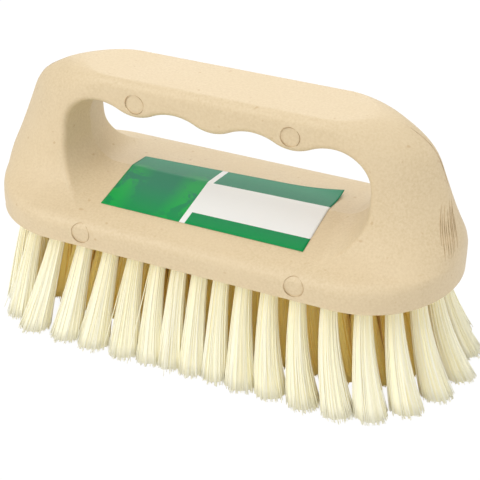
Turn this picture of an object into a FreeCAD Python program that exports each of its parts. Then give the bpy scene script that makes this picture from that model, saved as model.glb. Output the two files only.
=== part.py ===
# Hand scrub brush: a moulded block with a closed handle, its stapled tufts and its label.
# Millimetres. Z points up, the trimmed bristle tips lie on Z = 0, X runs along the block.
import FreeCAD
import Part
import Sketcher
import math
import os
from collections import namedtuple
from FreeCAD import Vector

doc = FreeCAD.newDocument("scrub_brush")
sheet = doc.addObject("Spreadsheet::Sheet", "Sizes")

# Driving dimensions. Heights of the block are counted from its flat underside.
SIZES = {
    # moulded block, outside
    "block_length": 150,
    "block_width": 62.5,
    "block_height": 47.6,
    "end_radius": 33.4,
    "rim_height": 8.6,
    "rim_round": 4.25,
    "crown_height": 16.6,
    "neck_inset": 7.4,
    "nose_radius": 3.6,
    "crown_inset": 23.1,
    "crown_radius": 8,
    "grip_width": 25,
    "grip_round": 3.1,
    # finger opening, measured on the mid-plane, and its draft in degrees
    "column_width": 20.2,
    "opening_floor": 12.9,
    "grip_depth": 10,
    "finger_wave": 3,
    "opening_draft": 8.8,
    "opening_round": 1.8,
    # tufts and the holes they stand in
    "bristle_trim": 33,
    "hole_diameter": 5,
    "hole_depth": 6.5,
    "tip_diameter": 8.6,
    "tip_gap": 0.3,
    "ring_inset": 8.25,
    "ring_phase": 2.6,
    "splay_along": 5.6,
    "splay_across": 11.5,
    "comb_along": 4,
    # flat wire anchors across the folds
    "anchor_length": 6,
    "anchor_height": 2,
    "anchor_thickness": 0.5,
    "fold_thickness": 0.7,
    # label on the floor of the opening
    "label_end_gap": 4.4,
    "label_near_gap": 10.75,
    "label_far_gap": 20.25,
    "label_thickness": 0.15,
    # round marks of the ejector pins
    "mark_diameter": 6,
    "mark_depth": 0.3,
    "grip_mark_gap": 49.4,
    "grip_mark_drop": 6.6,
    "rim_mark_gap": 69,
    "rim_mark_height": 4.4,
    # how far a cutting tool runs past what it cuts, and how near an edge is to count as touching
    "overrun": 2,
    "edge_touch": 0.3,
}

# How many tufts stand in each row, and how many ribs hang between the fingers.
COUNTS = {
    "outer_count": 38,
    "inner_count": 30,
    "middle_count": 11,
    "finger_ribs": 3,
}

# Radii of the opening's upper and lower corners, as shares of its height.
OPENING_SHARES = {
    "corner_share": 0.4,
    "foot_share": 0.405,
}

# The outer tufts close up towards the middle of each long side: the share of a quarter of the ring
# over which they do, and the share of their pitch that is left at the middle.
ROW_SHARES = {
    "squeeze_share": 0.69,
    "tight_share": 0.8,
}

# Sizes that follow from those above.
DERIVED = {
    "neck_length": "block_length - 2 * neck_inset",
    "crown_length": "neck_length - 2 * crown_inset",
    "neck_height": "block_height - crown_height",
    "opening_length": "neck_length - 2 * column_width",
    "opening_top": "block_height - grip_depth",
    "opening_corner": "(opening_top - opening_floor) * corner_share",
    "opening_foot": "(opening_top - opening_floor) * foot_share",
    "finger_pitch": "(opening_length - 2 * opening_corner) / finger_ribs",
    "straight_run": "block_length - block_width",
    "outer_radius": "block_width / 2 - ring_inset",
    "inner_radius": "outer_radius / 2",
    "outer_pitch": "2 * (straight_run + pi * outer_radius) / outer_count",
    "inner_pitch": "2 * (straight_run + pi * inner_radius) / inner_count",
    "squeeze_reach": "(straight_run + pi * outer_radius) / 2 * squeeze_share",
    "side_squeeze": "(1 - tight_share) * squeeze_reach / pi",
    "ring_reach": "straight_run / 2 + outer_radius",
    "label_length": "opening_length - 2 * (opening_foot + label_end_gap)",
    "label_near": "block_width / 2 - label_near_gap",
    "label_far": "block_width / 2 - label_far_gap",
    "grip_mark_height": "block_height - grip_mark_drop",
}

# The outside of the block is one loft through level outlines, in three zones.
# Each row: share of the zone's height, then shares of its drop in length, width and nose radius.
# The rim keeps its length, so its rows have no share for that.
RIM_SHARES = (
    (0.00, 0.00, 0.00),
    (0.25, 0.00, 0.00),
    (0.50, 0.00, 0.00),
    (0.68, 0.06, 0.01),
    (0.82, 0.23, 0.04),
    (0.92, 0.50, 0.09),
)
NECK_SHARES = (
    (0.000, 0.000, 0.000, 0.17),
    (0.036, 0.000, 0.207, 0.31),
    (0.098, 0.007, 0.428, 0.45),
    (0.196, 0.040, 0.634, 0.61),
    (0.330, 0.162, 0.793, 0.76),
    (0.510, 0.392, 0.910, 0.88),
    (0.732, 0.669, 0.979, 0.96),
    (1.000, 1.000, 1.000, 1.00),
)
CROWN_SHARES = (
    (0.330, 0.100, 0.000, 0.00),
    (0.540, 0.203, 0.000, 0.05),
    (0.723, 0.364, 0.000, 0.12),
    (0.843, 0.519, 0.020, 0.29),
    (0.922, 0.667, 0.170, 0.52),
    (0.976, 0.827, 0.480, 0.76),
    (1.000, 1.000, 1.000, 1.00),
)
# Use has combed the tips along the block. Each row: the root's place as a share of the rows' reach
# from the middle, then the share of the comb there.
COMB_SHARES = (
    (-1.00, 0.90),
    (-0.92, 0.85),
    (-0.84, 0.30),
    (-0.70, -0.12),
    (-0.46, -0.12),
    (-0.20, 0.60),
    (0.15, 0.46),
    (0.50, 1.13),
    (0.64, 1.13),
    (0.78, 0.96),
    (0.92, 0.98),
    (1.00, 1.50),
)
# Angles in degrees. At the handover the nose arc of a level outline meets its side arc.
HANDOVER_ANGLE = 35
QUARTER_TURN = 90
HALF_TURN = 180
# The part of a hole's radius over which a leaning tuft stays straight below the block.
MOUTH_SHARE = 0.5
# Where the outlines of a bent tuft lie, as shares of the way from the mouth of its hole to its tip.
TUFT_SHARES = (0, 0.5, 1)

# A tuft's root point, the turn of its hole, the row's run there, and where hole and tuft reach Z = 0.
Place = namedtuple("Place", "root turn along aim tip")


def fill_sheet():
    given = {**SIZES, **COUNTS, **OPENING_SHARES, **ROW_SHARES}
    cells = {alias: str(value) for alias, value in given.items()}
    cells.update({alias: f"={formula}" for alias, formula in DERIVED.items()})
    for row, (alias, content) in enumerate(cells.items(), start=1):
        sheet.set(f"A{row}", alias)
        sheet.set(f"B{row}", content)
        sheet.setAlias(f"B{row}", alias)
        doc.recompute()


def size(alias):
    return float(sheet.get(alias))


def section_rows():
    """Expressions for height, reach, half width and nose radius of each level outline."""
    end_drop = "(Sizes.end_radius - Sizes.nose_radius)"
    for height, width, nose in RIM_SHARES:
        yield (
            f"Sizes.rim_height * {height}",
            "Sizes.block_length / 2",
            f"Sizes.block_width / 2 - Sizes.rim_round * {width}",
            f"Sizes.end_radius - {end_drop} * {nose}",
        )
    for height, length, width, nose in NECK_SHARES:
        inner_drop = "(Sizes.block_width / 2 - Sizes.rim_round - Sizes.grip_width / 2)"
        yield (
            f"Sizes.rim_height + (Sizes.neck_height - Sizes.rim_height) * {height}",
            f"(Sizes.block_length - (Sizes.block_length - Sizes.neck_length) * {length}) / 2",
            f"Sizes.block_width / 2 - Sizes.rim_round - {inner_drop} * {width}",
            f"Sizes.end_radius - {end_drop} * {nose}",
        )
    for height, length, width, nose in CROWN_SHARES:
        yield (
            f"Sizes.neck_height + (Sizes.block_height - Sizes.neck_height) * {height}",
            f"(Sizes.neck_length - (Sizes.neck_length - Sizes.crown_length) * {length}) / 2",
            f"Sizes.grip_width / 2 - Sizes.grip_round * {width}",
            f"Sizes.nose_radius + (Sizes.crown_radius - Sizes.nose_radius) * {nose}",
        )


def origin_plane(body, role):
    return [item for item in body.Origin.OriginFeatures if item.Role == role][0]


def outline_arc(centre, radius, start, end):
    circle = Part.Circle(Vector(*centre), Vector(0, 0, 1), radius)
    return Part.ArcOfCircle(circle, math.radians(start), math.radians(end))


def level_outline(body, index, height, reach, half, nose):
    """A closed sketch: two straight sides, four side arcs and two nose arcs, all tangent."""
    sketch = body.newObject("Sketcher::SketchObject", f"level_{index:02d}")
    sketch.AttachmentSupport = (origin_plane(body, "XY_Plane"), "")
    sketch.MapMode = "FlatFace"
    sketch.setExpression("AttachmentOffset.Base.z", f"Sizes.bristle_trim + {height}")
    steep = 1 / math.sin(math.radians(HANDOVER_ANGLE))
    side = f"(({half}) * {steep} - ({nose})) / {steep - 1}"
    reach_now, half_now, nose_now, side_now = [
        float(sheet.evalExpression(text)) for text in (reach, half, nose, side)]
    nose_x = reach_now - nose_now
    side_x = nose_x + (nose_now - side_now) * math.cos(math.radians(HANDOVER_ANGLE))
    side_y = half_now - side_now
    turn = HANDOVER_ANGLE
    edges = [
        Part.LineSegment(Vector(-side_x, -half_now, 0), Vector(side_x, -half_now, 0)),
        outline_arc((side_x, -side_y, 0), side_now, -QUARTER_TURN, -turn),
        outline_arc((nose_x, 0, 0), nose_now, -turn, turn),
        outline_arc((side_x, side_y, 0), side_now, turn, QUARTER_TURN),
        Part.LineSegment(Vector(side_x, half_now, 0), Vector(-side_x, half_now, 0)),
        outline_arc((-side_x, side_y, 0), side_now, QUARTER_TURN, HALF_TURN - turn),
        outline_arc((-nose_x, 0, 0), nose_now, HALF_TURN - turn, HALF_TURN + turn),
        outline_arc((-side_x, -side_y, 0), side_now, HALF_TURN + turn, HALF_TURN + QUARTER_TURN),
    ]
    ids = sketch.addGeometry(edges, False)
    start, end, centre, x_axis, origin = 1, 2, 3, -1, -1
    rules = []
    for place, edge in enumerate(ids):
        following = ids[(place + 1) % len(ids)]
        rules.append(Sketcher.Constraint("Tangent", edge, end, following, start))
    for line in (0, 4):
        rules.append(Sketcher.Constraint("Horizontal", ids[line]))
    for arc in (2, 6):
        rules.append(Sketcher.Constraint("PointOnObject", ids[arc], centre, x_axis))
    for arc in (3, 5, 7):
        rules.append(Sketcher.Constraint("Equal", ids[1], ids[arc]))
    rules.append(Sketcher.Constraint("Equal", ids[2], ids[6]))
    sketch.addConstraint(rules)
    sized = [
        (Sketcher.Constraint("Radius", ids[1], side_now), side),
        (Sketcher.Constraint("Radius", ids[2], nose_now), nose),
        (Sketcher.Constraint("DistanceX", origin, start, ids[2], centre, nose_x), f"{reach} - ({nose})"),
        (Sketcher.Constraint("DistanceX", ids[6], centre, origin, start, nose_x), f"{reach} - ({nose})"),
        (Sketcher.Constraint("DistanceY", origin, start, ids[4], start, half_now), half),
        (Sketcher.Constraint("DistanceY", ids[0], start, origin, start, half_now), half),
    ]
    for constraint, expression in sized:
        number = sketch.addConstraint(constraint)
        sketch.setExpression(f"Constraints[{number}]", expression)
    return sketch


def block_form():
    """The block before anything is cut out of it."""
    body = doc.addObject("PartDesign::Body", "block_form")
    levels = [level_outline(body, index, *row) for index, row in enumerate(section_rows())]
    doc.recompute()
    loft = body.newObject("PartDesign::AdditiveLoft", "block_skin")
    loft.Profile = levels[0]
    loft.Sections = levels[1:]
    loft.Ruled = False
    body.Tip = loft
    return body


def opening_wire(offset, depth):
    """Outline of the finger opening in the plane Y = depth, grown by offset all round."""
    lift = size("bristle_trim")
    floor = lift + size("opening_floor")
    top = lift + size("opening_top")
    half = size("opening_length") / 2
    corner = size("opening_corner")
    foot = size("opening_foot")
    wave = size("finger_wave")
    pitch = size("finger_pitch")
    ribs = COUNTS["finger_ribs"]
    bend = ((pitch / 4) ** 2 + (wave / 2) ** 2) / wave

    def point(x, z):
        return Vector(x, depth, z)

    def arc(x, z, radius, start, end):
        turns = [math.radians(angle) for angle in (start, (start + end) / 2, end)]
        spots = [point(x + radius * math.cos(turn), z + radius * math.sin(turn)) for turn in turns]
        return Part.Arc(*spots).toShape()

    slope = math.degrees(math.asin(pitch / 4 / bend))
    up = QUARTER_TURN
    edges = [
        arc(half - foot, floor + foot, foot + offset, -up, 0),
        Part.makeLine(point(half + offset, floor + foot), point(half + offset, top - corner)),
        arc(half - corner, top - corner, corner + offset, 0, up),
        arc(ribs / 2 * pitch, top - bend, bend + offset, up, up + slope),
    ]
    for step in range(1, 2 * ribs):
        x = (ribs - step) / 2 * pitch
        if step % 2:
            edges.append(arc(x, top - wave + bend, bend - offset, slope - up, -up - slope))
        else:
            edges.append(arc(x, top - bend, bend + offset, up - slope, up + slope))
    edges += [
        arc(-ribs / 2 * pitch, top - bend, bend + offset, up - slope, up),
        arc(corner - half, top - corner, corner + offset, up, HALF_TURN),
        Part.makeLine(point(-half - offset, top - corner), point(-half - offset, floor + foot)),
        arc(foot - half, floor + foot, foot + offset, HALF_TURN, HALF_TURN + up),
        Part.makeLine(point(foot - half, floor - offset), point(half - foot, floor - offset)),
    ]
    return Part.Wire(edges)


def opening_tool():
    """The drafted slug that leaves the finger opening: widest outside, narrowest on the mid-plane."""
    depth = size("block_width") / 2 + size("overrun")
    growth = depth * math.tan(math.radians(size("opening_draft")))
    wires = [opening_wire(growth, -depth), opening_wire(0, 0), opening_wire(growth, depth)]
    tool = doc.addObject("Part::Feature", "opening_slug")
    tool.Shape = Part.makeLoft(wires, True, True)
    return tool


def rounded_opening(opened, form, slug):
    """Round the two mouths of the finger opening: the edges that lie on the skin and on the slug."""
    doc.recompute()
    mouth = []
    for number, edge in enumerate(opened.Shape.Edges, start=1):
        middle = Part.Vertex(edge.valueAt((edge.FirstParameter + edge.LastParameter) / 2))
        gaps = [part.Shape.Shells[0].distToShape(middle)[0] for part in (form, slug)]
        if max(gaps) < size("edge_touch"):
            mouth.append((number, size("opening_round"), size("opening_round")))
    fillet = doc.addObject("Part::Fillet", "block_rounded")
    fillet.Base = opened
    fillet.Edges = mouth
    return fillet


def facing(axis, along):
    """Turn that lays the own Z of a thing on the axis and keeps its X along the row."""
    return FreeCAD.Rotation(along, Vector(0, 0, 0), axis, "ZXY")


def tuft_place(x, y, along):
    """Place of the tuft that is rooted at x, y: its hole splays outwards, and use has combed its tip."""
    root = Vector(x, y, size("bristle_trim"))
    share = x / size("ring_reach")
    splay = Vector(size("splay_along") * share, size("splay_across") * y / size("outer_radius"), 0)
    aim = Vector(x, y, 0) + splay
    tip = aim + Vector(size("comb_along") * comb_share(share), 0, 0)
    return Place(root, facing(aim - root, along), along, aim, tip)


def comb_share(share):
    """Share of the comb at a share of the rows' reach, on straight lines between the given rows."""
    for (low, first), (high, second) in zip(COMB_SHARES, COMB_SHARES[1:]):
        if share <= high:
            return first + (second - first) * (share - low) / (high - low)
    return COMB_SHARES[-1][-1]


def tip_size(place, every):
    """Diameter of a tuft's tip: the full one, or less where the nearest other tip leaves less room."""
    gaps = [(place.tip - other.tip).Length for other in every if other is not place]
    return min(size("tip_diameter"), min(gaps) - size("tip_gap"))


def squeezed(run):
    """Move a place of the outer row, counted from the middle of its side, towards that middle."""
    reach = size("squeeze_reach")
    if abs(run) > reach:
        return run
    return run - size("side_squeeze") * math.sin(math.pi * run / reach)


def ring_places(row, phase_share):
    """Tuft places round a closed row with straight sides and round ends."""
    straight = size("straight_run")
    radius = size(f"{row}_radius")
    around = 2 * straight + 2 * math.pi * radius
    start = size("ring_phase") + phase_share * size("outer_pitch")
    places = []
    for number in range(COUNTS[f"{row}_count"]):
        run = start + size(f"{row}_pitch") * number
        if row == "outer":
            middle = around / 2 * round(run / (around / 2))
            run = middle + squeezed(run - middle)
        run = (run + straight / 2) % around
        side = -1
        if run > around / 2:
            side = 1
            run -= around / 2
        if run <= straight:
            spot = Vector(run - straight / 2, -radius, 0)
            along = Vector(1, 0, 0)
        else:
            bend = (run - straight) / radius
            spot = Vector(straight / 2 + radius * math.sin(bend), -radius * math.cos(bend), 0)
            along = Vector(math.cos(bend), math.sin(bend), 0)
        spot = spot * -side
        places.append(tuft_place(spot.x, spot.y, along * -side))
    return places


def middle_places():
    """Tuft places along the middle of the block, as close together as in the outer row."""
    count = COUNTS["middle_count"]
    places = []
    for number in range(count):
        x = (number - (count - 1) / 2) * size("outer_pitch")
        places.append(tuft_place(x, 0, Vector(1, 0, 0)))
    return places


def stand(item, place, shift):
    """Put an object on the axes of a tuft's hole, shifted within them."""
    item.Placement = FreeCAD.Placement(place.root + place.turn.multVec(shift), place.turn)


def hole_tool(place, name):
    hole = doc.addObject("Part::Cylinder", f"{name}_hole")
    hole.setExpression("Radius", "Sizes.hole_diameter / 2")
    hole.setExpression("Height", "Sizes.hole_depth + Sizes.hole_diameter / 2 + Sizes.overrun")
    stand(hole, place, Vector(0, 0, -size("hole_depth")))
    return hole


def anchor(place, name):
    """Flat piece of wire across the row that holds the fold down; its ends bite into the hole's wall."""
    plate = doc.addObject("Part::Box", f"{name}_anchor")
    plate.setExpression("Length", "Sizes.anchor_thickness")
    plate.setExpression("Width", "Sizes.anchor_length")
    plate.setExpression("Height", "Sizes.anchor_height")
    depth = size("fold_thickness") - size("hole_depth")
    stand(plate, place, Vector(-size("anchor_thickness") / 2, -size("anchor_length") / 2, depth))
    return plate


def tuft(place, width, name, plate):
    """A folded bundle of bristles: straight in its hole, bent and flaring below, trimmed level."""
    mouth = MOUTH_SHARE * size("hole_diameter") / 2
    stem = doc.addObject("Part::Cylinder", f"{name}_stem")
    stem.setExpression("Radius", "Sizes.hole_diameter / 2")
    stem.setExpression("Height", f"Sizes.hole_depth + {MOUTH_SHARE} * Sizes.hole_diameter / 2")
    stand(stem, place, Vector(0, 0, -size("hole_depth")))

    start = place.root + place.turn.multVec(Vector(0, 0, mouth))
    level = facing(Vector(0, 0, -1), place.along)
    outlines = []
    for share in TUFT_SHARES:
        outline = doc.addObject("Part::Circle", f"{name}_outline")
        outline.Radius = (size("hole_diameter") * (1 - share) + width * share) / 2
        centre = start + (place.aim - start) * share + (place.tip - place.aim) * share ** 2
        outline.Placement = FreeCAD.Placement(centre, level if share else place.turn)
        outlines.append(outline)
    brush = doc.addObject("Part::Loft", f"{name}_flare")
    brush.Sections = outlines
    brush.Solid = True

    whole = doc.addObject("Part::Fuse", f"{name}_bundle")
    whole.Base = stem
    whole.Tool = brush
    return cut(whole, plate, name)


def cut(base, tool, name):
    result = doc.addObject("Part::Cut", name)
    result.Base = base
    result.Tool = tool
    result.Label = name
    return result


def group(items, name):
    result = doc.addObject("Part::Compound", name)
    result.Links = items
    result.Label = name
    return result


def pin_marks():
    """Shallow round marks that the mould's ejector pins left on the near side."""
    marks = []
    for row in ("grip", "rim"):
        width = {"grip": "Sizes.grip_width", "rim": "Sizes.block_width"}[row]
        for side in (-1, 1):
            mark = doc.addObject("Part::Cylinder", f"{row}_mark")
            mark.Placement.Rotation = FreeCAD.Rotation(Vector(1, 0, 0), QUARTER_TURN)
            mark.setExpression("Radius", "Sizes.mark_diameter / 2")
            mark.setExpression("Height", "Sizes.mark_depth + Sizes.overrun")
            mark.setExpression("Placement.Base.x", f"{side} * Sizes.{row}_mark_gap / 2")
            mark.setExpression("Placement.Base.y", f"Sizes.mark_depth - {width} / 2")
            mark.setExpression("Placement.Base.z", f"Sizes.bristle_trim + Sizes.{row}_mark_height")
            marks.append(mark)
    return group(marks, "pin_marks")


def label():
    """Thin sticker laid over the ridged floor of the opening."""
    body = doc.addObject("PartDesign::Body", "label")
    sketch = body.newObject("Sketcher::SketchObject", "label_fold")
    sketch.AttachmentSupport = (origin_plane(body, "YZ_Plane"), "")
    sketch.MapMode = "FlatFace"
    sketch.setExpression("AttachmentOffset.Base.z", "-Sizes.label_length / 2")
    ridge = "Sizes.bristle_trim + Sizes.opening_floor"
    fall = "tan(Sizes.opening_draft)"
    under = [
        ("-Sizes.label_near", f"{ridge} - Sizes.label_near * {fall}"),
        ("0", ridge),
        ("Sizes.label_far", f"{ridge} - Sizes.label_far * {fall}"),
    ]
    over = [(y, f"{z} + Sizes.label_thickness") for y, z in reversed(under)]
    corners = under + over
    spots = [Vector(*[float(sheet.evalExpression(text)) for text in corner], 0) for corner in corners]
    lines = [Part.LineSegment(spot, spots[(place + 1) % len(spots)]) for place, spot in enumerate(spots)]
    ids = sketch.addGeometry(lines, False)
    for place, line in enumerate(ids):
        sketch.addConstraint(Sketcher.Constraint("Coincident", line, 2, ids[(place + 1) % len(ids)], 1))
    for line, spot, (y, z) in zip(ids, spots, corners):
        if spot.x == 0:
            sketch.addConstraint(Sketcher.Constraint("PointOnObject", line, 1, -2))
        elif spot.x < 0:
            number = sketch.addConstraint(Sketcher.Constraint("DistanceX", line, 1, -1, 1, -spot.x))
            sketch.setExpression(f"Constraints[{number}]", f"-({y})")
        else:
            number = sketch.addConstraint(Sketcher.Constraint("DistanceX", -1, 1, line, 1, spot.x))
            sketch.setExpression(f"Constraints[{number}]", y)
        number = sketch.addConstraint(Sketcher.Constraint("DistanceY", -1, 1, line, 1, spot.y))
        sketch.setExpression(f"Constraints[{number}]", z)
    pad = body.newObject("PartDesign::Pad", "label_sheet")
    pad.Profile = sketch
    pad.setExpression("Length", "Sizes.label_length")
    body.Label = "label"
    return body


def planted(places, every, row):
    """Holes, anchors and tufts of one row of places."""
    holes = []
    anchors = []
    tufts = []
    for number, place in enumerate(places, start=1):
        name = f"{row}_tuft_{number:02d}"
        holes.append(hole_tool(place, name))
        plate = anchor(place, name)
        anchors.append(plate)
        tufts.append(tuft(place, tip_size(place, every), name, plate))
    return holes, anchors, tufts


def main():
    fill_sheet()
    rows = {
        "outer": ring_places("outer", 0),
        "inner": ring_places("inner", 1 / 2),
        "middle": middle_places(),
    }
    every = sum(rows.values(), [])
    holes = []
    nodes = []
    anchor_groups = []
    for row, places in rows.items():
        row_holes, row_anchors, row_tufts = planted(places, every, row)
        holes += row_holes
        anchor_groups.append(group(row_anchors, f"{row}_anchors"))
        if row == "inner":
            nodes.append(group(row_tufts, "inner_tufts"))
        else:
            nodes += row_tufts

    form = block_form()
    slug = opening_tool()
    opened = rounded_opening(cut(form, slug, "block_opened"), form, slug)
    drilled = cut(opened, group(holes, "tuft_holes"), "block_drilled")
    slotted = cut(drilled, group(anchor_groups, "anchor_slots"), "block_slotted")
    nodes += [cut(slotted, pin_marks(), "handle_block"), label()]
    nodes += anchor_groups
    doc.recompute()
    write(nodes)


def write(nodes):
    for item in doc.Objects:
        if "Invalid" in item.State or "Error" in item.State:
            raise RuntimeError(f"{item.Label} did not compute")
    os.makedirs("parts", exist_ok=True)
    for node in nodes:
        if node.Shape.isNull() or not node.Shape.isValid():
            raise RuntimeError(f"{node.Label} is not a valid shape")
        node.Shape.exportStep(f"parts/{node.Label}.step")
        print(node.Label, len(node.Shape.Solids), round(node.Shape.Volume, 1))


main()
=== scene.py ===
import bpy
import math
import numpy as np
from mathutils import Matrix, Vector
from mathutils.bvhtree import BVHTree


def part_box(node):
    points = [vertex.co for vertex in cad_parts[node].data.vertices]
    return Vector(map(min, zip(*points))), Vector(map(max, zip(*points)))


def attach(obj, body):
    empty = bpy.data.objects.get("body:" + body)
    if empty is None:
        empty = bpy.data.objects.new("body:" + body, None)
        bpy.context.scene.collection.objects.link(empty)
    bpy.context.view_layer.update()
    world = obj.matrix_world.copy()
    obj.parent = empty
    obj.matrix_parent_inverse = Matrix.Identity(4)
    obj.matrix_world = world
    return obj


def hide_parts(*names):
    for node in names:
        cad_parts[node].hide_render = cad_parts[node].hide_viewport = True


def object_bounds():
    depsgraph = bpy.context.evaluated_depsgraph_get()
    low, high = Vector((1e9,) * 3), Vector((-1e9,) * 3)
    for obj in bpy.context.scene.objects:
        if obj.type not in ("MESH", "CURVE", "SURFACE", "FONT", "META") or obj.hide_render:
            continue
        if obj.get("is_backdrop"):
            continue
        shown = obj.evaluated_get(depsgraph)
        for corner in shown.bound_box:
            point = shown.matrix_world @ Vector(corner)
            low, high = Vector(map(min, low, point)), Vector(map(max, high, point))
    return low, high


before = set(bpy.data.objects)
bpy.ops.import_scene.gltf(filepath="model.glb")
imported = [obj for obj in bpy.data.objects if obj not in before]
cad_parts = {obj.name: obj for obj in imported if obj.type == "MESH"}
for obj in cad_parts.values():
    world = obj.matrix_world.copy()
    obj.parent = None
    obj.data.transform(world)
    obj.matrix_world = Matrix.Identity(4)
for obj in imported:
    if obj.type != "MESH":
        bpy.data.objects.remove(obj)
cad_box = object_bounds()

MM = 0.001

# Camera: the point it looks at, and where it stands as seen from there.
CAMERA_AIM = Vector((4.3 * MM, 0, 27.8 * MM))
CAMERA_DISTANCE = 399.2 * MM
CAMERA_AZIMUTH = math.radians(23.71)
CAMERA_ELEVATION = math.radians(31.75)
CAMERA_ROLL = math.radians(0.62)
CAMERA_LENS = 95.72

# Studio: a white room with softboxes; each has the direction in which it stands, and its power.
WORLD_LEVEL = 0.5
BOUNCES = 32
FLOOR_WIDTH = 4
FLOOR_ALBEDO = 0.9
FLOOR_SHADE = 0.07
FLOOR_GLOW = 1.03
SOFTBOX_DISTANCE = 0.9
SOFTBOX_WIDTH = 0.6
SOFTBOXES = {
    "key": ((-0.40, -0.62, 0.66), 3.4),
    "top": ((0.05, 0.00, 1.00), 2.4),
    "back": ((-0.34, 0.78, 0.53), 2.5),
    "right": ((0.80, 0.45, 0.40), 1.4),
    "front": ((0.40, -0.92, 0.18), 1.4),
    "low": ((-0.30, 0.95, 0.15), 1.0),
}
# Softboxes that reflections leave out.
UNREFLECTED = ("low",)

# Bristles: filaments per tuft, their thickness, and how unevenly they stand.
FILAMENTS = 150
FILAMENT_RADIUS = 0.15 * MM
FILAMENT_RINGS = 8
FILAMENT_SIDES = 5
TIP_TAPER = 0.75
TAPER_START = 0.7
SHELL_SHARE = 0.76
ROOT_FILL = 0.86
ROW_WAIST = {"outer": 0.06, "inner": -0.20, "middle": -0.20}
ROOT_SINK = 2 * MM
TIP_LEVEL = 0.02 * MM
TIP_SPREAD = 0.85 * MM
DEPTH_SPREAD = (0.95, 1.04)
TURN_SPREAD = 0.04
BEND_POWER = 1.5
WANDER = 0.10 * MM
RAGGED = 0.35 * MM
STRAY_SHARE = 0.006
STRAY_REACH = 2.2 * MM
CLUMPS = 17
CLUMP_PULL = 0.35
CLUMP_RAGGED = 0.4 * MM
TUFT_LEAN = 0.3 * MM
LEAN_SHARES = (1, 0.6, 0)
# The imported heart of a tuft: its share of the tuft's radius, the share of the last step to
# the tip at which it ends, and its flutes.
HEART_SHARE = 0.94
HEART_END = 0.74
HEART_SIDES = 48
FLUTE_SHARE = 0.025
# Shares of golden painted shade, which stands for the deep shade in the bristles: by row, in from
# the cream outer ones, then at the roots, towards the middle of a tuft, and in its heart.
ROW_SHADE_GOLD = {"outer": 0.0, "inner": 0.75, "middle": 0.9}
ROOT_SHADE_GOLD = 0.3
DEEP_SHADE_GOLD = 0.7
HEART_SHADE_GOLD = 0.15

# Label: shares are counted from its left end and its near edge. The far edge is skewed about
# the pivot, and the corner curls up where both shares together pass the start of the curl.
LABEL_CLEARANCE = 0.05 * MM
LABEL_THICKNESS = 0.15 * MM
LABEL_STEP = 0.75 * MM
LABEL_FAR_SKEW = 5 * MM
LABEL_PIVOT_SHARE = 0.4
LABEL_CURL = 1.6 * MM
LABEL_CURL_START = 1.72
DIVIDER_SHARE = (0.400, 0.428)
LOWER_BAND_SHARE = 0.17
UPPER_BAND_SHARE = 0.64
LEAF_STRENGTH = 0.75

# Traces of the mould on the block: rings round the pin marks, the parting line and drag lines.
# The marks stand in pairs, each at a distance left and right of the middle and at a height.
# Other pairs of heights and distances go from one end of a line to the other.
THREAD_RADIUS = 0.13 * MM
THREAD_STEPS = 24
THREAD_END = 0.02
MARK_RADIUS = 3.05 * MM
MARK_PAIRS = ((24.7 * MM, 74.0 * MM), (34.5 * MM, 37.4 * MM))
MARK_ARCS = 3
MARK_ARC_GAP = 0.12
MARK_ARC_SHARES = (0.75, 0.98)
PARTING_HEIGHTS = (62 * MM, 79 * MM)
DRAG_LINES = 9
DRAG_HEIGHTS = (59 * MM, 43 * MM)
DRAG_NEAR = (-0.5 * MM, -6 * MM)
DRAG_FAN = (4 * MM, 6 * MM)
DRAG_JITTER = 0.3

# Colours as red, green, blue and alpha; a pair is what a texture varies between.
BLOCK_FLOW = ((0.615, 0.479, 0.288, 1), (0.65, 0.512, 0.318, 1))
BLOCK_GRAIN = (0.69, 0.556, 0.358, 1)
BLOCK_SPECK = (0.575, 0.42, 0.24, 1)
# Painted shade: the mould traces are darker than the block, standing for the shade along their fine
# grooves and rims, mottled by a texture.
TRACE_PAINTED_SHADE = ((0.32, 0.21, 0.10, 1), (0.58, 0.42, 0.24, 1))
BRISTLE_PALE = ((0.96, 0.945, 0.83, 1), (0.95, 0.918, 0.71, 1))
# Painted shade: the gold that the pale filaments are turned towards where shade falls deep among and
# inside the tufts.
BRISTLE_SHADE_GOLD = (0.995, 0.85, 0.28, 1)
WIRE_GREY = ((0.50, 0.51, 0.53, 1), (0.68, 0.69, 0.70, 1))
LABEL_GREEN = ((0.002, 0.26, 0.065, 1), (0.010, 0.20, 0.100, 1))
# The far part's green, paler with a painted sheen.
LABEL_FAR_GREEN_AND_SHEEN = (0.03, 0.25, 0.13, 1)
LABEL_LEAF = (0.006, 0.37, 0.06, 1)
LABEL_WHITE = (0.80, 0.80, 0.79, 1)

# Surfaces: the range that a texture varies the roughness over, and the height of the bumps.
BLOCK_ROUGHNESS = (0.48, 0.60)
BLOCK_BUMP = 0.28
BLOCK_BUMP_HEIGHT = 0.12 * MM
TRACE_ROUGHNESS = 0.5
BRISTLE_ROUGHNESS = (0.34, 0.5)
WIRE_ROUGHNESS = (0.28, 0.45)
WIRE_STREAKS = (400, 400, 4000)
LABEL_ROUGHNESS = (0.30, 0.42)
LABEL_BUMP = 0.05
LABEL_BUMP_HEIGHT = 0.05 * MM
LABEL_GLOSS = 0.15

# Vertices of a CAD mesh that fall in one cell of this size are taken as one.
SAME_PLACE = MM / 1000

SEED = 7
GOLDEN_ANGLE = math.pi * (3 - math.sqrt(5))


def link(thing):
    bpy.context.scene.collection.objects.link(thing)
    return thing


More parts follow.
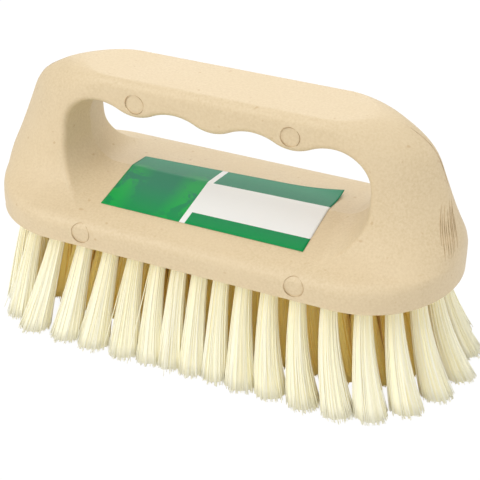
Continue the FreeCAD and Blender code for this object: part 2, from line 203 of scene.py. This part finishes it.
def add_node(tree, kind, settings=None, **inputs):
    """A shader node. Each input is a value or another node's output.

    An input goes by its name, with underscores for spaces, or by i and its number.
    """
    node = tree.nodes.new(kind)
    for name, value in (settings or {}).items():
        setattr(node, name, value)
    for name, value in inputs.items():
        socket = node.inputs[int(name[1:])] if name[0] == "i" and name[1:].isdigit() else None
        socket = socket or node.inputs[name.replace("_", " ")]
        if isinstance(value, bpy.types.NodeSocket):
            tree.links.new(value, socket)
        else:
            socket.default_value = value
    return node


def math_node(tree, operation, first, second=0.0):
    return add_node(tree, "ShaderNodeMath", {"operation": operation}, i0=first, i1=second).outputs[0]


def mix_colour(tree, share, first, second):
    settings = {"data_type": "RGBA"}
    return add_node(tree, "ShaderNodeMix", settings, i0=share, i6=first, i7=second).outputs[2]


def noise(tree, place, scale, detail=2.0, roughness=0.5, distortion=0.0):
    return add_node(
        tree, "ShaderNodeTexNoise", Vector=place, Scale=scale, Detail=detail,
        Roughness=roughness, Distortion=distortion).outputs["Fac"]


def new_material(name):
    material = bpy.data.materials.new(name)
    material.use_nodes = True
    tree = material.node_tree
    tree.nodes.clear()
    output = add_node(tree, "ShaderNodeOutputMaterial")
    return material, tree, output


def spread(tree, value, low, high, begin=0.0, end=1.0):
    """Map a texture value so that begin becomes low and end becomes high."""
    return add_node(
        tree, "ShaderNodeMapRange", i0=value, i1=begin, i2=end, i3=low, i4=high).outputs[0]


def stretch(tree, value, begin, end):
    """Map a texture value so that begin becomes 0 and end becomes 1."""
    return spread(tree, value, 0.0, 1.0, begin, end)


def block_material():
    """Cream moulded plastic: faint flow marks, fine grain, soft gloss."""
    material, tree, output = new_material("block_plastic")
    place = add_node(tree, "ShaderNodeTexCoord").outputs["Object"]
    flow = noise(tree, place, scale=28, detail=3, roughness=0.55, distortion=1.6)
    grain = noise(tree, place, scale=1400, roughness=0.6)
    speck = noise(tree, place, scale=420, detail=1, roughness=0.4)
    colour = mix_colour(tree, stretch(tree, flow, 0.35, 0.65), *BLOCK_FLOW)
    grained = mix_colour(tree, stretch(tree, grain, 0.3, 0.7), colour, BLOCK_GRAIN)
    specked = mix_colour(tree, stretch(tree, speck, 0.73, 0.80), grained, BLOCK_SPECK)
    height = math_node(tree, "ADD", math_node(tree, "MULTIPLY", grain, 0.5), speck)
    bump = add_node(
        tree, "ShaderNodeBump", Strength=BLOCK_BUMP, Distance=BLOCK_BUMP_HEIGHT, Height=height)
    rough = spread(tree, flow, *BLOCK_ROUGHNESS, begin=0.3, end=0.7)
    shader = add_node(
        tree, "ShaderNodeBsdfPrincipled", Base_Color=specked, Roughness=rough,
        Normal=bump.outputs[0], IOR=1.5)
    tree.links.new(shader.outputs[0], output.inputs["Surface"])
    return material


def trace_material():
    """The block's plastic along a thin mould trace, darker with painted shade for the trace's fine
    grooves and rims.
    """
    material, tree, output = new_material("block_trace")
    place = add_node(tree, "ShaderNodeTexCoord").outputs["Object"]
    shade_mottle = noise(tree, place, scale=300, roughness=0.6)
    colour = mix_colour(tree, stretch(tree, shade_mottle, 0.35, 0.65), *TRACE_PAINTED_SHADE)
    shader = add_node(tree, "ShaderNodeBsdfPrincipled", Base_Color=colour, Roughness=TRACE_ROUGHNESS)
    tree.links.new(shader.outputs[0], output.inputs["Surface"])
    return material


def bristle_material():
    """Pale synthetic filaments, with golden painted shade towards the heart and root of a tuft and in
    the inner rows.
    """
    material, tree, output = new_material("bristle_filament")
    gold_shade = add_node(tree, "ShaderNodeAttribute", {"attribute_name": "gold_shade"}).outputs["Fac"]
    fibre = add_node(tree, "ShaderNodeAttribute", {"attribute_name": "fibre"}).outputs["Fac"]
    pale = mix_colour(tree, fibre, *BRISTLE_PALE)
    # Painted shade: the pale filaments are mixed towards gold by their share of painted shade.
    colour = mix_colour(tree, gold_shade, pale, BRISTLE_SHADE_GOLD)
    rough = spread(tree, fibre, *BRISTLE_ROUGHNESS)
    shader = add_node(tree, "ShaderNodeBsdfPrincipled", Base_Color=colour, Roughness=rough)
    tree.links.new(shader.outputs[0], output.inputs["Surface"])
    return material


def steel_material():
    """Drawn galvanised wire, streaked along its length."""
    material, tree, output = new_material("anchor_wire")
    place = add_node(tree, "ShaderNodeTexCoord").outputs["Object"]
    drawn = add_node(tree, "ShaderNodeMapping", Vector=place, Scale=WIRE_STREAKS).outputs[0]
    streak = noise(tree, drawn, scale=1, detail=3)
    colour = mix_colour(tree, streak, *WIRE_GREY)
    rough = spread(tree, streak, *WIRE_ROUGHNESS)
    shader = add_node(
        tree, "ShaderNodeBsdfPrincipled", Base_Color=colour, Roughness=rough, Metallic=1.0)
    tree.links.new(shader.outputs[0], output.inputs["Surface"])
    return material


def leaf_share(tree, place, along, across):
    """How leafy the left panel is: blotches along its borders, none in its middle or far part."""
    leaf = noise(tree, place, scale=130, detail=5, roughness=0.62, distortion=0.5)
    aside = math_node(tree, "ABSOLUTE", math_node(tree, "SUBTRACT", along, DIVIDER_SHARE[0] / 2))
    near = stretch(tree, across, 0.85, 0.55)
    border = math_node(tree, "MULTIPLY", stretch(tree, aside, 0.06, 0.14), near)
    blotch = math_node(tree, "MULTIPLY", stretch(tree, leaf, 0.46, 0.52), border)
    return math_node(tree, "MULTIPLY", blotch, LEAF_STRENGTH)


def label_print(tree, place):
    """Colour of the print: a leafy left panel, a white divider, and white between two bands, with a
    painted sheen paling the green towards the far edge.
    """
    spot = add_node(tree, "ShaderNodeUVMap", {"uv_map": "panel"}).outputs[0]
    parts = add_node(tree, "ShaderNodeSeparateXYZ", Vector=spot)
    along, across = parts.outputs[0], parts.outputs[1]
    green = mix_colour(tree, stretch(tree, across, 0.0, 0.45), *LABEL_GREEN)
    # Painted sheen: the green turns paler towards the far edge of the label.
    panel = mix_colour(tree, stretch(tree, across, 0.70, 1.0), green, LABEL_FAR_GREEN_AND_SHEEN)
    leaves = mix_colour(tree, leaf_share(tree, place, along, across), panel, LABEL_LEAF)
    lower = math_node(tree, "LESS_THAN", across, LOWER_BAND_SHARE)
    upper = math_node(tree, "GREATER_THAN", across, UPPER_BAND_SHARE)
    band = math_node(tree, "MAXIMUM", lower, upper)
    right = mix_colour(tree, band, LABEL_WHITE, panel)
    left_side = math_node(tree, "LESS_THAN", along, DIVIDER_SHARE[0])
    right_side = math_node(tree, "GREATER_THAN", along, DIVIDER_SHARE[1])
    half = mix_colour(tree, right_side, LABEL_WHITE, right)
    return mix_colour(tree, left_side, half, leaves)


def label_material():
    """Printed sticker: plain colour panels with leafy blotches, no words."""
    material, tree, output = new_material("label_print")
    place = add_node(tree, "ShaderNodeTexCoord").outputs["Object"]
    colour = label_print(tree, place)
    fibres = noise(tree, place, scale=900, roughness=0.6)
    bump = add_node(
        tree, "ShaderNodeBump", Strength=LABEL_BUMP, Distance=LABEL_BUMP_HEIGHT, Height=fibres)
    rough = spread(tree, fibres, *LABEL_ROUGHNESS)
    shader = add_node(
        tree, "ShaderNodeBsdfPrincipled", Base_Color=colour, Roughness=rough,
        Normal=bump.outputs[0], Specular_IOR_Level=LABEL_GLOSS)
    tree.links.new(shader.outputs[0], output.inputs["Surface"])
    return material


def floor_material():
    """White floor that the camera sees almost without shade, so a faint shadow is left."""
    material, tree, output = new_material("floor_white")
    ray = add_node(tree, "ShaderNodeLightPath").outputs
    seen = math_node(tree, "MAXIMUM", ray["Is Camera Ray"], ray["Is Glossy Ray"])
    seen = math_node(tree, "MAXIMUM", seen, ray["Is Transmission Ray"])
    share = math_node(tree, "MULTIPLY", seen, 1 - FLOOR_SHADE)
    paper = add_node(tree, "ShaderNodeBsdfDiffuse", Color=(FLOOR_ALBEDO,) * 3 + (1,))
    glow = add_node(tree, "ShaderNodeEmission", Strength=FLOOR_GLOW)
    mixed = add_node(
        tree, "ShaderNodeMixShader", i0=share, i1=paper.outputs[0], i2=glow.outputs[0])
    tree.links.new(mixed.outputs[0], output.inputs["Surface"])
    return material


def add_camera():
    data = bpy.data.cameras.new("camera")
    data.lens = CAMERA_LENS
    camera = link(bpy.data.objects.new("camera", data))
    turn = Matrix.Rotation(CAMERA_AZIMUTH, 4, "Z")
    tilt = Matrix.Rotation(math.pi / 2 - CAMERA_ELEVATION, 4, "X")
    roll = Matrix.Rotation(CAMERA_ROLL, 4, "Z")
    away = Matrix.Translation((0, 0, CAMERA_DISTANCE))
    camera.matrix_world = Matrix.Translation(CAMERA_AIM) @ turn @ tilt @ roll @ away
    bpy.context.scene.camera = camera


def add_softbox(name, direction, power):
    data = bpy.data.lights.new(name, "AREA")
    data.shape = "SQUARE"
    data.size = SOFTBOX_WIDTH
    data.energy = power
    lamp = link(bpy.data.objects.new(name, data))
    lamp.visible_glossy = name not in UNREFLECTED
    away = Vector(direction).normalized()
    lamp.location = CAMERA_AIM + away * SOFTBOX_DISTANCE
    lamp.rotation_euler = away.to_track_quat("Z", "Y").to_euler()


def add_studio():
    world = bpy.data.worlds.new("studio")
    world.use_nodes = True
    tree = world.node_tree
    tree.nodes["Background"].inputs["Color"].default_value = (1, 1, 1, 1)
    seen = add_node(tree, "ShaderNodeLightPath").outputs["Is Camera Ray"]
    level = math_node(tree, "MAXIMUM", seen, WORLD_LEVEL)
    tree.links.new(level, tree.nodes["Background"].inputs["Strength"])
    bpy.context.scene.world = world
    bpy.context.scene.view_settings.view_transform = "Standard"
    bpy.context.scene.cycles.max_bounces = BOUNCES
    bpy.context.scene.cycles.diffuse_bounces = BOUNCES
    for name, (direction, power) in SOFTBOXES.items():
        add_softbox(name, direction, power)
    half = FLOOR_WIDTH / 2
    corners = [(-half, -half, 0), (half, -half, 0), (half, half, 0), (-half, half, 0)]
    mesh = bpy.data.meshes.new("floor")
    mesh.from_pydata(corners, [], [(0, 1, 2, 3)])
    floor = link(bpy.data.objects.new("floor", mesh))
    floor.data.materials.append(floor_material())
    floor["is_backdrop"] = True


def dress(node, material):
    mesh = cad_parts[node].data
    mesh.materials.clear()
    mesh.materials.append(material)


def add_piece(name, mesh, material, slot, *nodes):
    """Put a new piece on the brush in place of the CAD nodes that it stands for."""
    piece = link(bpy.data.objects.new(name, mesh))
    mesh.materials.append(material)
    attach(piece, "root")
    if nodes:
        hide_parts(*nodes)
    return piece


def solids_of(node):
    """End points of the mesh edges of each separate solid in a CAD node."""
    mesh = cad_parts[node].data
    places = np.array([vertex.co for vertex in mesh.vertices])
    edges = np.array([edge.vertices for edge in mesh.edges])
    keys = {}
    cells = np.round(places / SAME_PLACE).astype(int).tolist()
    same = [keys.setdefault(tuple(cell), len(keys)) for cell in cells]
    parent = list(range(len(keys)))

    def head(item):
        while parent[item] != item:
            parent[item] = parent[parent[item]]
            item = parent[item]
        return item

    for first, second in edges:
        parent[head(same[first])] = head(same[second])
    heads = np.array([head(same[first]) for first in edges[:, 0]])
    return [places[edges[heads == item]] for item in dict.fromkeys(heads.tolist())]


def tuft_sections(edges):
    """Middles and radii of level cuts through one CAD tuft, from inside its hole down to its tip."""
    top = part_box("handle_block")[0].z + ROOT_SINK
    first, second = edges[:, 0], edges[:, 1]
    middles, radii = [], []
    for level in np.linspace(top, TIP_LEVEL, FILAMENT_RINGS):
        crossing = (first[:, 2] - level) * (second[:, 2] - level) < 0
        low, high = first[crossing], second[crossing]
        share = (level - low[:, 2]) / (high[:, 2] - low[:, 2])
        spots = low + (high - low) * share[:, None]
        middles.append((spots.min(axis=0) + spots.max(axis=0)) / 2)
        radii.append(np.ptp(spots[:, :2], axis=0).mean() / 2)
    return np.array(middles), np.array(radii)


def hump(run):
    """0 at both ends of a run from 0 to 1, and 1 in its middle."""
    return 4 * run * (1 - run)


def filament_paths(spine, radii, dice):
    """Centre lines of the filaments of one tuft, and how far each is from the middle."""
    rank = np.arange(FILAMENTS) + 0.5
    depth = np.sqrt(SHELL_SHARE ** 2 + (1 - SHELL_SHARE ** 2) * rank / FILAMENTS)
    depth *= dice.uniform(*DEPTH_SPREAD, FILAMENTS)
    turn = rank * GOLDEN_ANGLE / (2 * math.pi) + dice.normal(0, TURN_SPREAD, FILAMENTS)
    clump = np.round(turn * CLUMPS)
    run = np.linspace(0, 1, FILAMENT_RINGS)
    turns = turn[:, None] + (clump / CLUMPS - turn)[:, None] * CLUMP_PULL * run[None] ** 2
    angles = 2 * math.pi * turns
    around = np.stack([np.cos(angles), np.sin(angles), np.zeros_like(angles)], axis=2)
    fan = around * depth[:, None, None] * radii[None, :, None]
    stray = dice.random(FILAMENTS) < STRAY_SHARE
    astray = dice.normal(0, WANDER, (FILAMENTS, 3))
    astray = astray + dice.normal(0, STRAY_REACH, (FILAMENTS, 3)) * stray[:, None]
    short = np.abs(dice.normal(0, CLUMP_RAGGED, CLUMPS))[clump.astype(int) % CLUMPS]
    astray[:, 2] = short + np.abs(dice.normal(0, RAGGED, FILAMENTS)) + FILAMENT_RADIUS / 2
    sway = dice.normal(0, WANDER, (FILAMENTS, 1, 3)) * (1, 1, 0)
    run = run[None, :, None]
    bend = astray[:, None, :] * run ** BEND_POWER + sway * hump(run)
    return spine[None] + fan + bend, depth


def tubes(paths, taper):
    """Vertices and faces of closed-tipped tubes along the given centre lines."""
    count, rings, _ = paths.shape
    along = np.gradient(paths, axis=1)
    along /= np.linalg.norm(along, axis=2, keepdims=True)
    side = np.cross(along, (0.0, 1.0, 0.0))
    side /= np.linalg.norm(side, axis=2, keepdims=True)
    other = np.cross(along, side)
    turns = np.arange(FILAMENT_SIDES) * 2 * math.pi / FILAMENT_SIDES
    ring = side[:, :, None, :] * np.cos(turns)[:, None] + other[:, :, None, :] * np.sin(turns)[:, None]
    places = paths[:, :, None, :] + ring * taper[None, :, None, None]
    index = np.arange(count * rings * FILAMENT_SIDES).reshape(count, rings, FILAMENT_SIDES)
    return places.reshape(-1, 3), ring_faces(index)


def ring_faces(index):
    """Quads between the rings of vertices, and a cap on the last ring."""
    following = np.roll(index, -1, axis=2)
    quads = np.stack([index[:, :-1], index[:, 1:], following[:, 1:], following[:, :-1]], axis=-1)
    return quads.reshape(-1, 4).tolist() + index[:, -1, ::-1].tolist()


def heart(spine, radii, dice):
    """Fluted body of a tuft, which shows between its outer filaments."""
    turns = np.arange(HEART_SIDES) * 2 * math.pi / HEART_SIDES
    around = np.stack([np.cos(turns), np.sin(turns), np.zeros(HEART_SIDES)], axis=1)
    around *= 1 + dice.normal(0, FLUTE_SHARE, (HEART_SIDES, 1))
    end = spine[-2] + (spine[-1] - spine[-2]) * HEART_END
    middles = np.concatenate([spine[:-1], end[None]])
    places = middles[:, None, :] + around[None] * HEART_SHARE * radii[:, None, None]
    index = np.arange(FILAMENT_RINGS * HEART_SIDES).reshape(1, FILAMENT_RINGS, HEART_SIDES)
    return places.reshape(-1, 3), ring_faces(index)


def tuft_shapes(edges, row, dice):
    """Filaments and heart of one CAD tuft: for each its vertices, faces, shares of golden painted
    shade and fibre shares.
    """
    run = np.linspace(0, 1, FILAMENT_RINGS)
    thinner = np.clip((run - TAPER_START) / (1 - TAPER_START), 0, 1)
    taper = FILAMENT_RADIUS * (1 - (1 - TIP_TAPER) * thinner)
    # Painted shade: more gold towards the roots and in the inner rows, and below, towards the middle
    # of a tuft and in its heart.
    deep = ROOT_SHADE_GOLD * (1 - run) ** 2 + ROW_SHADE_GOLD[row]
    middles, radii = tuft_sections(edges)
    spine = middles + dice.normal(0, TUFT_LEAN, 3) * LEAN_SHARES * run[:, None] ** 2
    waist = 1 - ROW_WAIST[row] * hump(run)
    radii = radii * waist * (ROOT_FILL + (1 - ROOT_FILL) * run) + TIP_SPREAD * run ** 2
    paths, depth = filament_paths(spine, radii, dice)
    gold_shade = np.clip((1 - depth)[:, None] * DEEP_SHADE_GOLD + deep[None, :], 0, 1)
    fibre = np.repeat(dice.random(FILAMENTS), FILAMENT_RINGS * FILAMENT_SIDES)
    yield *tubes(paths, taper), np.repeat(gold_shade.reshape(-1), FILAMENT_SIDES), fibre
    gold_shade = np.clip(HEART_SHADE_GOLD + deep, 0, 1)
    body = heart(spine, radii, dice)
    fibre = np.tile(dice.random(HEART_SIDES), FILAMENT_RINGS)
    yield *body, np.repeat(gold_shade, HEART_SIDES), fibre


def bristle_mesh(name, tufts, row, dice):
    """One mesh of filaments and hearts for the given CAD tufts."""
    places, faces, gold_shades, fibres = [], [], [], []
    base = 0
    for edges in tufts:
        for spots, loops, gold_shade, fibre in tuft_shapes(edges, row, dice):
            faces += [[base + corner for corner in loop] for loop in loops]
            base += len(spots)
            places.append(spots)
            gold_shades.append(gold_shade)
            fibres.append(fibre)
    mesh = bpy.data.meshes.new(name)
    mesh.from_pydata(np.concatenate(places).tolist(), [], faces)
    for title, values in (("gold_shade", gold_shades), ("fibre", fibres)):
        layer = mesh.attributes.new(title, "FLOAT", "POINT")
        layer.data.foreach_set("value", np.concatenate(values))
    mesh.polygons.foreach_set("use_smooth", [len(face) == 4 for face in faces])
    return mesh


def add_bristles():
    material = bristle_material()
    dice = np.random.default_rng(SEED)
    for node in sorted(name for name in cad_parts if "tuft" in name):
        row = node.split("_")[0]
        name = node.replace("tufts", "tuft").replace("tuft", "bristles")
        mesh = bristle_mesh(name, solids_of(node), row, dice)
        add_piece(name, mesh, material, "bristle", node)


def block_tree():
    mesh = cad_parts["handle_block"].data
    return BVHTree.FromPolygons(
        [vertex.co for vertex in mesh.vertices], [face.vertices for face in mesh.polygons])


def laid(tree, starts, direction):
    """Points of the block's skin that lie in a direction from the given points."""
    return np.array([tree.ray_cast(Vector(start), Vector(direction))[0] for start in starts])


def mark_rings(tree, dice):
    """Broken rings of flash round the ejector pin marks."""
    front = cad_box[0].y - MM
    places = [(side * apart, height) for apart, height in MARK_PAIRS for side in (-1, 1)]
    for x, z in places:
        turn = dice.uniform(0, 2 * math.pi)
        for part in range(MARK_ARCS):
            begin = turn + (part + dice.uniform(0, MARK_ARC_GAP)) * 2 * math.pi / MARK_ARCS
            reach = dice.uniform(*MARK_ARC_SHARES) * 2 * math.pi / MARK_ARCS
            angles = begin + np.linspace(0, reach, THREAD_STEPS)
            ring = [
                (x + MARK_RADIUS * math.cos(angle), front, z + MARK_RADIUS * math.sin(angle))
                for angle in angles]
            yield laid(tree, ring, (0, 1, 0))


def parting_lines(tree):
    """The line that the mould's halves left at both ends of the handle."""
    for side in (-1, 1):
        heights = np.linspace(*PARTING_HEIGHTS, THREAD_STEPS)
        yield laid(tree, [(side * 2 * cad_box[1].x, 0, height) for height in heights], (-side, 0, 0))


def drag_lines(tree, dice):
    """Fine lines that the mould dragged down the right end."""
    for number in range(DRAG_LINES):
        begin, end = np.sort(dice.uniform(0, 1, 2))
        shares = np.linspace(begin / 2, (1 + end) / 2, THREAD_STEPS)
        lane = (number + dice.uniform(-DRAG_JITTER, DRAG_JITTER)) / DRAG_LINES
        near = np.interp(shares, (0, 1), DRAG_NEAR) - lane * np.interp(shares, (0, 1), DRAG_FAN)
        heights = np.interp(shares, (0, 1), DRAG_HEIGHTS)
        starts = [(2 * cad_box[1].x, y, z) for y, z in zip(near, heights)]
        yield laid(tree, starts, (-1, 0, 0))


def add_mould_traces(tree):
    material = trace_material()
    dice = np.random.default_rng(SEED)
    run = np.linspace(0, 1, THREAD_STEPS)
    taper = THREAD_RADIUS * np.sin(math.pi * np.clip(run, THREAD_END, 1 - THREAD_END)) ** 0.5
    traces = {
        "pin_rings": mark_rings(tree, dice),
        "parting_line": parting_lines(tree),
        "drag_lines": drag_lines(tree, dice),
    }
    for name, lines in traces.items():
        mesh = bpy.data.meshes.new(name)
        places, faces = tubes(np.array(list(lines)), taper)
        mesh.from_pydata(places.tolist(), [], faces)
        mesh.polygons.foreach_set("use_smooth", [True] * len(mesh.polygons))
        add_piece(name, mesh, material, "block")


def label_mesh(tree):
    """A sheet laid on the floor of the opening, with its far right corner curling up."""
    low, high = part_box("label")
    columns = round((high.x - low.x) / LABEL_STEP)
    rows = round((high.y - low.y) / LABEL_STEP)
    places, spots = [], []
    for row in range(rows + 1):
        for column in range(columns + 1):
            along, across = column / columns, row / rows
            x = low.x + along * (high.x - low.x)
            y = low.y + across * (high.y - low.y + LABEL_FAR_SKEW * (along - LABEL_PIVOT_SHARE))
            hit = tree.ray_cast(Vector((x, y, high.z + LABEL_CURL)), Vector((0, 0, -1)))[0]
            corner = max(0, along + across - LABEL_CURL_START) / (2 - LABEL_CURL_START)
            places.append((x, y, hit.z + LABEL_CLEARANCE + LABEL_CURL * corner ** 2))
            spots.append((along, across))
    width = columns + 1
    starts = [row * width + column for row in range(rows) for column in range(columns)]
    faces = [(start, start + 1, start + width + 1, start + width) for start in starts]
    mesh = bpy.data.meshes.new("label_sheet")
    mesh.from_pydata(places, [], faces)
    layer = mesh.uv_layers.new(name="panel")
    for loop in mesh.loops:
        layer.data[loop.index].uv = spots[loop.vertex_index]
    mesh.polygons.foreach_set("use_smooth", [True] * len(mesh.polygons))
    return mesh


def add_label(tree):
    piece = add_piece("label_sheet", label_mesh(tree), label_material(), "label", "label")
    body = piece.modifiers.new("thickness", "SOLIDIFY")
    body.thickness = LABEL_THICKNESS
    body.offset = 1


def dress_solids():
    dress("handle_block", block_material())
    steel = steel_material()
    for node in ("outer_anchors", "inner_anchors", "middle_anchors"):
        dress(node, steel)


def write_sizes():
    boxes = {"cad": cad_box, "visual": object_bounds()}
    {name: [list(corner) for corner in box] for name, box in boxes.items()}


add_camera()
add_studio()
dress_solids()
add_bristles()
skin = block_tree()
add_mould_traces(skin)
add_label(skin)
write_sizes()
